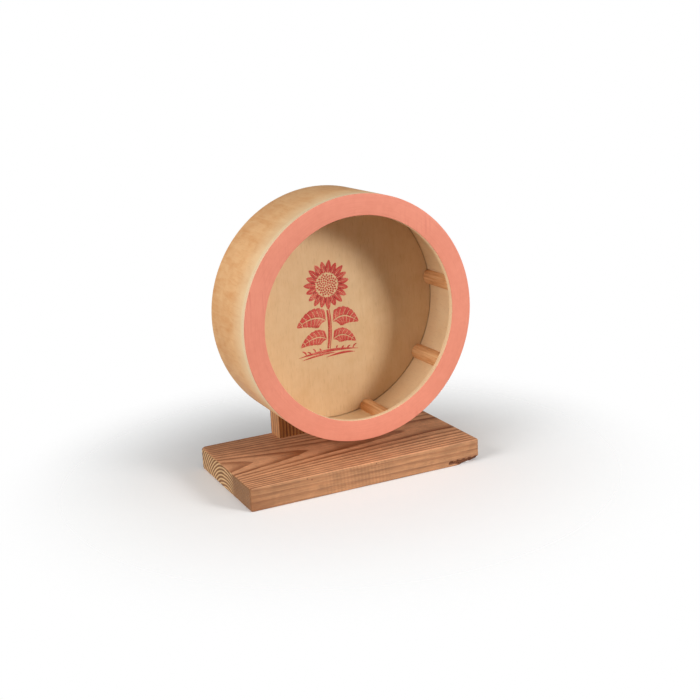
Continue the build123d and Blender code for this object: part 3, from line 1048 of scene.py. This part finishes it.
def rung_shape(index):
    """Columns go round the profile: the arc of the rod, then the arc of the seat. Rows go along it.

    The rod's middle lies rod radius minus height inside the seat. Near both ends the rod is a little
    slimmer, by easing * (1 - sin), which rounds its end.
    """
    middle = seat_radius - rung_height + rung_rod_radius
    half_angle = math.acos((middle - seat_radius) / rung_rod_radius)
    over = np.linspace(-half_angle, half_angle, 25)
    bend = np.radians(np.linspace(0, 90, 5))
    length = rung_high.y - rung_low.y
    inset = rung_easing * (1 - np.cos(bend))
    straight = np.linspace(rung_easing, length - rung_easing, 12)[1:-1]
    stations = np.concatenate([inset, straight, length - inset[::-1]])
    slimmer = rung_easing * (1 - np.sin(bend))
    slim = np.concatenate([slimmer, 0 * straight, slimmer[::-1]])[:, None]
    radial = middle - (rung_rod_radius - slim) * np.cos(over)
    sideways = (rung_rod_radius - slim) * np.sin(over)
    seat_sideways = np.linspace(sideways[:, -1], sideways[:, 0], 9, axis=1)[:, 1:-1]
    seat_radial = np.sqrt(seat_radius ** 2 - seat_sideways ** 2)
    radial = np.concatenate([radial, seat_radial], axis=1)
    sideways = np.concatenate([sideways, seat_sideways], axis=1)
    angle = rung_first_turn + 2 * math.pi * index / rung_count
    points = np.stack([
        axle_x + radial * math.cos(angle) - sideways * math.sin(angle),
        np.broadcast_to((rung_low.y + stations)[:, None], radial.shape),
        axle_z + radial * math.sin(angle) + sideways * math.cos(angle),
    ], axis=-1)
    row_count, column_count = points.shape[:2]
    sides, row, column = grid_faces(row_count, column_count, False, True)
    along = np.append(stations, stations[-1]) + figure_shift * index
    grain = grid_grain(row, column, along, np.linspace(0, profile_length, column_count + 1))
    lid_grain = np.full((2, column_count, 2), 0.05 * index)
    return add_piece(
        f"rung_strip_{index + 1}",
        points.reshape(-1, 3),
        [sides, end_lids(row_count, column_count)],
        [grain, lid_grain],
        sharp_angle=50,
    )


# %% [markdown]
# The strips are cut from orange-brown softwood rod and not varnished. Fine lines run along them, and
# their ends, cut across the fibres, are darker.

# %% Rungs: wood
rung_wood, wiring, shader = new_material("rung softwood", specular=0.35)
_, normal, uv = surface_facts(wiring)
grain = wiring.group(fibres_group, vector=uv, streak_scale=520.0, pore_scale=1800.0)
lines = wiring.noise(wiring.mapped(uv, stretch=(0.06, 1, 1)), 420, 2.0, 0.5, 0.4)
tone = wiring.add(wiring.times(grain["Streaks"], 0.6), wiring.times(lines, 0.55))
colour = wiring.mix(wiring.step(tone, 0.38, 0.78), linear(208, 144, 92), linear(244, 198, 146))
end = wiring.step(wiring.math("ABSOLUTE", wiring.split(normal)[1]), 0.45, 0.85)
colour = wiring.mix(wiring.times(end, 0.6), colour, linear(164, 104, 62))
colour = wiring.mix(wiring.times(grain["Pores"], 0.25), colour, linear(120, 66, 34))
wiring.put(colour, shader.inputs["Base Color"])
wiring.put(wiring.step(tone, 0.3, 0.8, 0.55, 0.65), shader.inputs["Roughness"])
bump(wiring, shader, grain["Streaks"], 0.06 * mm)
for index in range(rung_count):
    place(rung_shape(index), "wheel", f"rung_{index + 1}", rung_wood)

# %% [markdown]
# The print on the disc is a sunflower, as if cut in lino and stamped in red. A lino block leaves solid
# shapes with thin bare lines between them, so each petal and leaf is drawn as strips with gaps. Every
# strip is a small grid: one parameter runs along it, the other across it. All of them are laid in one
# sheet, a twentieth of a millimetre in front of the disc, which gets the thickness of an ink film.

# %% Print: flat patches
print_centre_x = axle_x - 2.8 * mm
print_centre_z = axle_z - 1.8 * mm
ink_lift = 0.05 * mm
ink_thickness = 0.06 * mm
ink_points = []
ink_faces = []


def ink_patch(x, z):
    """Adds one printed patch. x and z are grids in millimetres from the middle of the print."""
    start = sum(len(block) for block in ink_points)
    depth = np.full(x.shape, disc_low.y - ink_lift)
    flat = np.stack([print_centre_x + x * mm, depth, print_centre_z + z * mm], axis=-1).reshape(-1, 3)
    faces, _, _ = grid_faces(*x.shape, False, False)
    a, b, c = (flat[faces[:, k]] for k in range(3))
    towards_back = np.cross(b - a, c - a)[:, 1].sum() > 0
    ink_points.append(flat)
    ink_faces.append((faces[:, ::-1] if towards_back else faces) + start)


def ink_turned(u, v, angle, centre):
    """Adds a patch that is drawn along x, turned by angle and moved to its centre."""
    ink_patch(centre[0] + u * math.cos(angle) - v * math.sin(angle),
              centre[1] + u * math.sin(angle) + v * math.cos(angle))


def curved_line(start, pull, end, count):
    """A curve through two ends, pulled towards a third point, and its left-hand direction."""
    t = np.linspace(0, 1, count)[:, None]
    start, pull, end = (np.array(point, float) for point in (start, pull, end))
    line = (1 - t) ** 2 * start + 2 * t * (1 - t) * pull + t ** 2 * end
    slope = 2 * (1 - t) * (pull - start) + 2 * t * (end - pull)
    slope /= np.linalg.norm(slope, axis=1)[:, None]
    return line, np.stack([-slope[:, 1], slope[:, 0]], axis=-1)


def ink_stroke(start, pull, end, width, taper, offset=0.0):
    """A stroke along a curve: width * sin(pi * t) ** taper across, shifted sideways by offset."""
    line, side = curved_line(start, pull, end, 25)
    t = np.clip(np.linspace(0, 1, 25), 0.02, 0.98)
    half = width / 2 * np.sin(np.pi * t) ** taper
    across = half[:, None] * np.array([-1, 0, 1]) + offset
    grid = line[:, None, :] + side[:, None, :] * across[..., None]
    ink_patch(grid[..., 0], grid[..., 1])


# %% [markdown]
# Leaves, petals and seeds are made of such patches too. Bare veins cut a leaf into pieces, a bare line
# parts a petal along its middle, and a seed is a small oval.


# %% Print: leaves, petals and seeds
def ink_leaf(start, pull, end, width, veins=7, gap=0.11, lean=0.2):
    """Both halves of a leaf, split by bare veins that lean towards its tip, with a toothed edge."""
    fine = 361
    line, side = curved_line(start, pull, end, fine)
    share = np.linspace(0, 1, fine)
    half_width = width / 2 * np.sin(np.pi * share ** 0.72) ** 0.8
    marks = np.linspace(0.02, 1.0, veins + 1)
    out = np.linspace(0.06, 1, 7)[None, :]
    for half in (-1, 1):
        for low, high in zip(marks[:-1], marks[1:]):
            inner = np.linspace(low, high - gap / veins, 9)[:, None]
            at = np.clip(inner + lean * out * (1 - inner), 0, 1)
            index = (at * (fine - 1)).astype(int)
            tooth = 1 - 0.10 * np.linspace(0, 1, 9)[:, None] ** 2 * (out > 0.8)
            reach = half * half_width[index] * out * tooth
            grid = line[index] + side[index] * reach[..., None]
            ink_patch(grid[..., 0], grid[..., 1])


def ink_petal(angle, inner_radius, outer_radius, width, centre, gap=0.09):
    """A pointed petal in two halves, with a bare line between them that closes towards the tip."""
    along = np.linspace(0, 1, 15)[:, None]
    half = width / 2 * np.sin(np.pi * (0.10 + 0.90 * along ** 0.85)) ** 0.65
    radius = inner_radius + (outer_radius - inner_radius) * along
    for side in (-1, 1):
        v = side * half * (gap * (1 - along) + np.linspace(0, 1, 5)[None, :] * (1 - gap * (1 - along)))
        ink_turned(radius + 0 * v, v, angle, centre)


def ink_dot(centre, radius, stretch, angle):
    """A small seed: a ring of points round its middle, longer one way."""
    turn = np.linspace(0, 2 * np.pi, 9)
    rim = np.array([[0.03], [1.0]])
    ink_turned(radius * stretch * rim * np.cos(turn), radius * rim * np.sin(turn), angle, centre)


# %% [markdown]
# The layout: one large flower head above, a bent stem, four leaves and a mound of earth with grass below.
# The seeds in the head follow the golden angle, as they do on a plant: each new seed is turned by it
# from the last, and its distance from the middle is the square root of its number.

# %% Print: layout
flower = (1.0, 20.6)
head_radius = 9.2
seed_count = 66
golden_angle = math.pi * (3 - math.sqrt(5))
petal_count = 19
for index in range(petal_count):
    angle = 2 * math.pi * (index + 0.3) / petal_count
    length = 20.6 + 0.7 * math.sin(3.7 * index)
    ink_petal(angle, head_radius + 1.0, length, 5.1, flower)
for index in range(seed_count):
    radius = head_radius * math.sqrt((index + 0.5) / seed_count)
    angle = index * golden_angle
    seed = (flower[0] + radius * math.cos(angle), flower[1] + radius * math.sin(angle))
    ink_dot(seed, 0.80, 1.15, angle)
ink_stroke((0.8, -0.8), (3.4, -16), (-0.2, -34.2), 2.3, 0.12, -0.75)
ink_stroke((0.8, -0.8), (3.4, -16), (-0.2, -34.2), 0.9, 0.12, 1.15)
ink_leaf((-0.9, -10.5), (-11, -1.5), (-28.6, -12.5), 17.5)
ink_leaf((4.0, -12.0), (15, -2.5), (28.8, -15.0), 17.0)
ink_leaf((-0.6, -26.5), (-11, -18.5), (-26.0, -30.0), 13.5)
ink_leaf((3.6, -27.5), (13, -19.0), (25.5, -31.5), 13.0)
mound_strokes = (
    ((-28, -38.6), (0, -33.6), (27, -38.0), 2.4),
    ((-25, -41.2), (-8, -37.4), (6, -38.4), 1.8),
    ((-3, -41.4), (14, -38.2), (24, -40.6), 1.9),
)
for start, pull, end, width in mound_strokes:
    ink_stroke(start, pull, end, width, 0.7)
grass = (
    (-25, -33.2), (-20, -34.4), (-15, -32.4), (-9, -33.0),
    (8, -32.6), (14, -33.8), (20, -34.2), (26, -33.6),
)
for reach, tip in grass:
    root = 0.86 * reach
    ink_stroke((root, -34.7 - 0.005 * root ** 2), (root, tip - 1), (reach, tip), 1.4, 0.5)

ink_print = add_piece("printed_flower", np.concatenate(ink_points), ink_faces, closed=False)
film = ink_print.modifiers.new("ink film", "SOLIDIFY")
film.thickness = ink_thickness
film.offset = -1
print("ink patches:", len(ink_points), "with", sum(len(block) for block in ink_faces), "faces")

# %% [markdown]
# Stamped ink is thin and dry. It misses the pores of the wood and small specks, where the veneer shows.

# %% Print: ink
ink, wiring, shader = new_material("red stamping ink", roughness=0.62, specular=0.25)
position, _, _ = surface_facts(wiring)
specks = wiring.noise(position, 1700, 3.0, 0.65)
thin = wiring.noise(position, 130, 3.0, 0.6)
missing = wiring.step(wiring.add(specks, wiring.times(thin, 0.35)), 0.74, 0.84)
red = wiring.mix(wiring.step(thin, 0.3, 0.7), linear(196, 66, 60), linear(212, 82, 74))
wiring.put(wiring.mix(wiring.times(missing, 0.75), red, linear(*disc_pale)), shader.inputs["Base Color"])
ink_print.data.materials.append(ink)
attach(ink_print, "wheel")

# %% [markdown]
# Metal. Bolt, nut, washer and spacers are zinc plated, the screws have the yellow plate of wood screws,
# and the bearings are ground steel. The plate is cloudy, so the roughness moves over the surface more
# than the colour does.


# %% Metal
def plated(name, tint, deep, roughness, spread):
    """Metal whose cloudiness moves its roughness and, less, its tint."""
    material, wiring, shader = new_material(name)
    shader.inputs["Metallic"].default_value = 1.0
    position, _, _ = surface_facts(wiring)
    patches = wiring.group(mottle_group, vector=position, broad_scale=260.0, small_scale=1500.0)
    wiring.put(wiring.mix(mottled(wiring, patches), deep, tint), shader.inputs["Base Color"])
    wiring.put(mottled(wiring, patches, roughness + spread, roughness), shader.inputs["Roughness"])
    bump(wiring, shader, patches["Small"], 0.02 * mm)
    return material


zinc = plated("bright zinc plate", linear(205, 207, 210), linear(168, 172, 178), 0.26, 0.18)
yellow_zinc = plated("yellow zinc plate", linear(214, 190, 128), linear(186, 158, 92), 0.28, 0.18)
ground_steel = plated("ground bearing steel", linear(212, 213, 216), linear(190, 192, 196), 0.14, 0.10)
pressed_steel = plated("pressed shield steel", linear(186, 188, 192), linear(160, 163, 168), 0.32, 0.12)
for name in ("axle_bolt", "lock_nut", "axle_washer", "hub_sleeve", "bearing_spacer"):
    dress_node(name, zinc)
for name in ("hub_screws", "post_screws"):
    dress_node(name, yellow_zinc)

# %% [markdown]
# The cages that keep the balls apart are natural nylon: a warm white that is a little cloudy inside.

# %% Bearing cages
nylon, wiring, shader = new_material("natural nylon cage", specular=0.4)
position, _, _ = surface_facts(wiring)
patches = wiring.group(mottle_group, vector=position, broad_scale=400.0, small_scale=2400.0)
wiring.put(wiring.mix(mottled(wiring, patches), linear(222, 214, 190), linear(238, 232, 212)),
           shader.inputs["Base Color"])
wiring.put(mottled(wiring, patches, 0.42, 0.55), shader.inputs["Roughness"])
for side in ("front", "rear"):
    for name in ("outer_race", "inner_race", "balls"):
        dress_node(f"{side}_bearing_{name}", ground_steel)
    dress_node(f"{side}_bearing_shields", pressed_steel)
    dress_node(f"{side}_bearing_cage", nylon)

# %% [markdown]
# The hub block is turned from beech, which shows short dark flecks between its fibres.

# %% Hub block
hub_wood, wiring, shader = new_material("beech hub", specular=0.35)
position, _, _ = surface_facts(wiring)
upright = wiring.mapped(position, turn=(0, math.radians(90), 0))
face, grain, patches, _ = veneer(wiring, upright, position, (222, 180, 130), (196, 148, 100), 0.2)
flecks = wiring.noise(wiring.mapped(upright, stretch=(0.25, 1, 1)), 1400, 1.0, 0.4)
face = wiring.mix(wiring.step(flecks, 0.62, 0.74, 0.0, 0.4), face, linear(150, 98, 60))
wiring.put(face, shader.inputs["Base Color"])
wiring.put(mottled(wiring, patches, 0.5, 0.62), shader.inputs["Roughness"])
bump(wiring, shader, grain["Streaks"], 0.05 * mm)
dress_node("hub_block", hub_wood)

# %% [markdown]
# The studio has a floor of white paper. It takes the wheel's shadow and fades out into the backdrop away
# from the wheel. From below it is clear, and it is open under the board, so that the underside can be
# looked at and isn't black.

# %% Floor
floor_rings = (0.3, 1.0, 3.0)
floor_segments = 96
floor_sink = 0.02 * mm
opening_margin = 4 * mm
fade_from, fade_to = 0.10, 0.30


def floor_shape():
    """A flat disc at height zero, radius times (cos t, sin t), open in the middle where the board stands.

    The opening is a rectangle a little smaller than the board: its radius is the nearer of
    half_length / |cos t| and half_width / |sin t|.
    """
    turn = np.linspace(0, 2 * np.pi, floor_segments, endpoint=False)[:, None] + 0.001
    half_length = (board_high.x - board_low.x) / 2 - opening_margin
    half_width = (board_high.y - board_low.y) / 2 - opening_margin
    opening = np.minimum(half_length / np.abs(np.cos(turn)), half_width / np.abs(np.sin(turn)))
    rings = np.concatenate([opening, np.broadcast_to(floor_rings, (floor_segments, 3))], axis=1)
    middle = (board_low + board_high) / 2
    points = np.stack([
        middle.x + np.cos(turn) * rings,
        middle.y + np.sin(turn) * rings,
        np.full(rings.shape, -floor_sink),
    ], axis=-1)
    faces, _, _ = grid_faces(*rings.shape, True, False)
    return add_piece("floor", points.reshape(-1, 3), [faces[:, ::-1]], closed=False)


floor = floor_shape()
paper, wiring, shader = new_material("studio paper", roughness=0.85, specular=0.1)
position, _, _ = surface_facts(wiring)
soft = wiring.noise(position, 3.0, 2.0, 0.5)
wiring.put(wiring.mix(soft, (0.90, 0.90, 0.895), (0.93, 0.93, 0.925)), shader.inputs["Base Color"])
east, north, _ = wiring.split(position)
shown = wiring.step(wiring.length(east, north), fade_from, fade_to, 1.0, 0.0)
from_below = wiring.node("ShaderNodeNewGeometry").outputs["Backfacing"]
wiring.put(wiring.times(shown, wiring.less(1.0, from_below)), shader.inputs["Alpha"])
floor.data.materials.append(paper)

# %% [markdown]
# The camera sees a white backdrop, while the light that comes from all round is weaker than that, because
# a wheel that is lit evenly from all sides looks flat. A Light Path node tells the two apart.

# %% Backdrop
world_light = 0.14

world = bpy.data.worlds.new("studio")
world.use_nodes = True
wiring = Wiring(world.node_tree)
background = world.node_tree.nodes["Background"]
seen = wiring.node("ShaderNodeLightPath").outputs["Is Camera Ray"]
wiring.put(wiring.add(wiring.times(seen, 1.0 - world_light), world_light), background.inputs["Strength"])
background.inputs["Color"].default_value = (1.0, 1.0, 1.0, 1.0)
bpy.context.scene.world = world
bpy.context.scene.view_settings.view_transform = "Standard"
print("light from all round:", world_light)

# %% [markdown]
# Softboxes. The key stands in front, to the right and a little above, with a broad panel beside it: they
# draw the soft shadow of the ring's mouth on the disc, so their directions were found from where that
# shadow lies and how blurred its edge is. The third box stands far to the left, where it lights the outside
# of the drum and, through the mouth, the right half of the running surface. The last one hangs overhead.


# %% Softboxes
def softbox(name, direction, away, size, power):
    """An area light that faces the drum's middle. direction points from the drum to the light."""
    drum_middle = Vector((axle_x, 0, axle_z))
    way = Vector(direction).normalized()
    data = bpy.data.lights.new(name, "AREA")
    data.shape = "RECTANGLE"
    data.size, data.size_y = size
    data.energy = power
    light = bpy.data.objects.new(name, data)
    facing = (-way).to_track_quat("-Z", "Y").to_matrix().to_4x4()
    light.matrix_world = Matrix.Translation(drum_middle + way * away) @ facing
    light.visible_camera = False
    bpy.context.collection.objects.link(light)
    print(name, "gives", power, "watts from", away, "metres away")


softbox("key_box", (0.60, -1.0, 0.36), 1.4, (0.36, 0.36), 11.9)
softbox("right_panel", (0.81, -0.59, 0.32), 1.4, (0.90, 1.00), 5.4)
softbox("left_box", (-0.96, -0.22, 0.35), 1.4, (0.80, 0.80), 15.6)
softbox("top_box", (-0.05, -0.45, 1.0), 1.0, (0.60, 0.60), 1.9)
